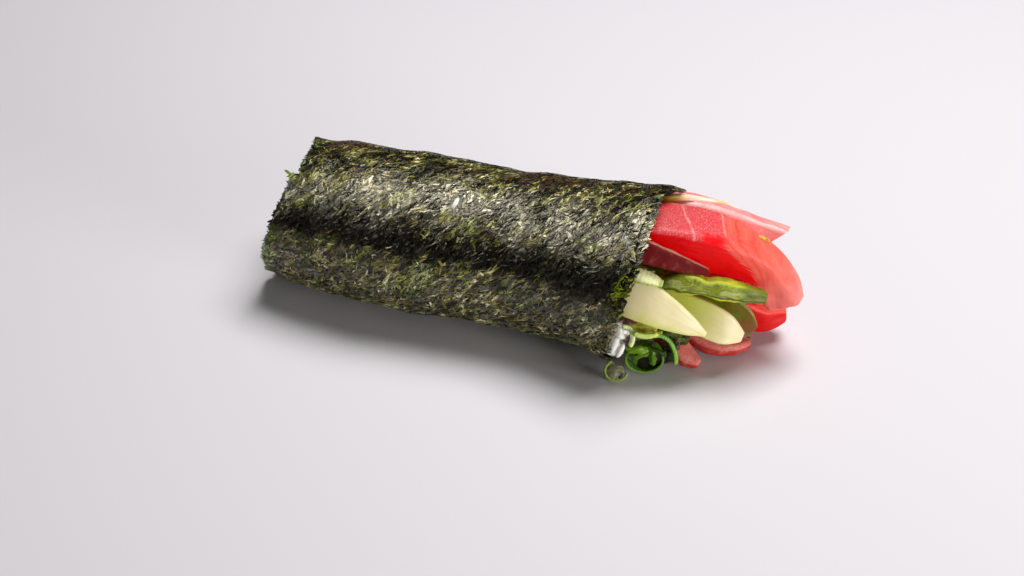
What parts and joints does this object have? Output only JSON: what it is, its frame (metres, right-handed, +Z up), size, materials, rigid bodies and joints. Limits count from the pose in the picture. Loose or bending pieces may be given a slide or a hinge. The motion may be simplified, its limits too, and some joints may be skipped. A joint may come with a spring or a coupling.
{
  "type": "temaki hand roll",
  "caption": "Hand roll lying on its side: roasted seaweed rolled round rice, with tuna, cucumber, avocado, radish and scallion fanning out of its wider open end.",
  "frame": {"origin": "centre of the footprint, on the surface that the roll lies on", "axes": "+X runs along the roll towards the open end with the fillings, -Y is the side seen first, +Z is up"},
  "size_m": [0.1492, 0.052, 0.0481],
  "materials": {
    "nori": "crisp roasted seaweed sheet, pressed flakes, part glossy",
    "rice": "moist translucent cooked grains",
    "tuna": "wet raw fish, translucent, pale sinew lines",
    "tuna_dark": "wet raw fish, dark maroon",
    "cucumber": "moist pale flesh",
    "cucumber_peel": "translucent flesh with olive green skin",
    "avocado": "soft mottled green flesh, darker outer face",
    "scallion": "thin fresh green wall",
    "scallion_pale": "thin ribbed pale green wall",
    "radish": "moist yellow pickle, paler along its edge"
  },
  "bodies": {
    "root": {"nori_wrap": "nori", "rice_bed": "rice", "tuna_slice_front": "tuna", "tuna_slice_back": "tuna", "tuna_slice_low": "tuna", "tuna_slice_dark": "tuna_dark", "tuna_end_left": "tuna_dark", "tuna_end_right": "tuna_dark", "cucumber_stick_front": "cucumber", "cucumber_stick_rear": "cucumber", "cucumber_peel_slice": "cucumber_peel", "avocado_slice": "avocado", "scallion_strip": "scallion_pale", "radish_strip": "radish", "scallion_ring_large": "scallion", "scallion_curl": "scallion", "scallion_ring_pale": "scallion_pale", "scallion_ring_side": "scallion_pale", "scallion_ring_low": "scallion"}
  },
  "joints": []
}
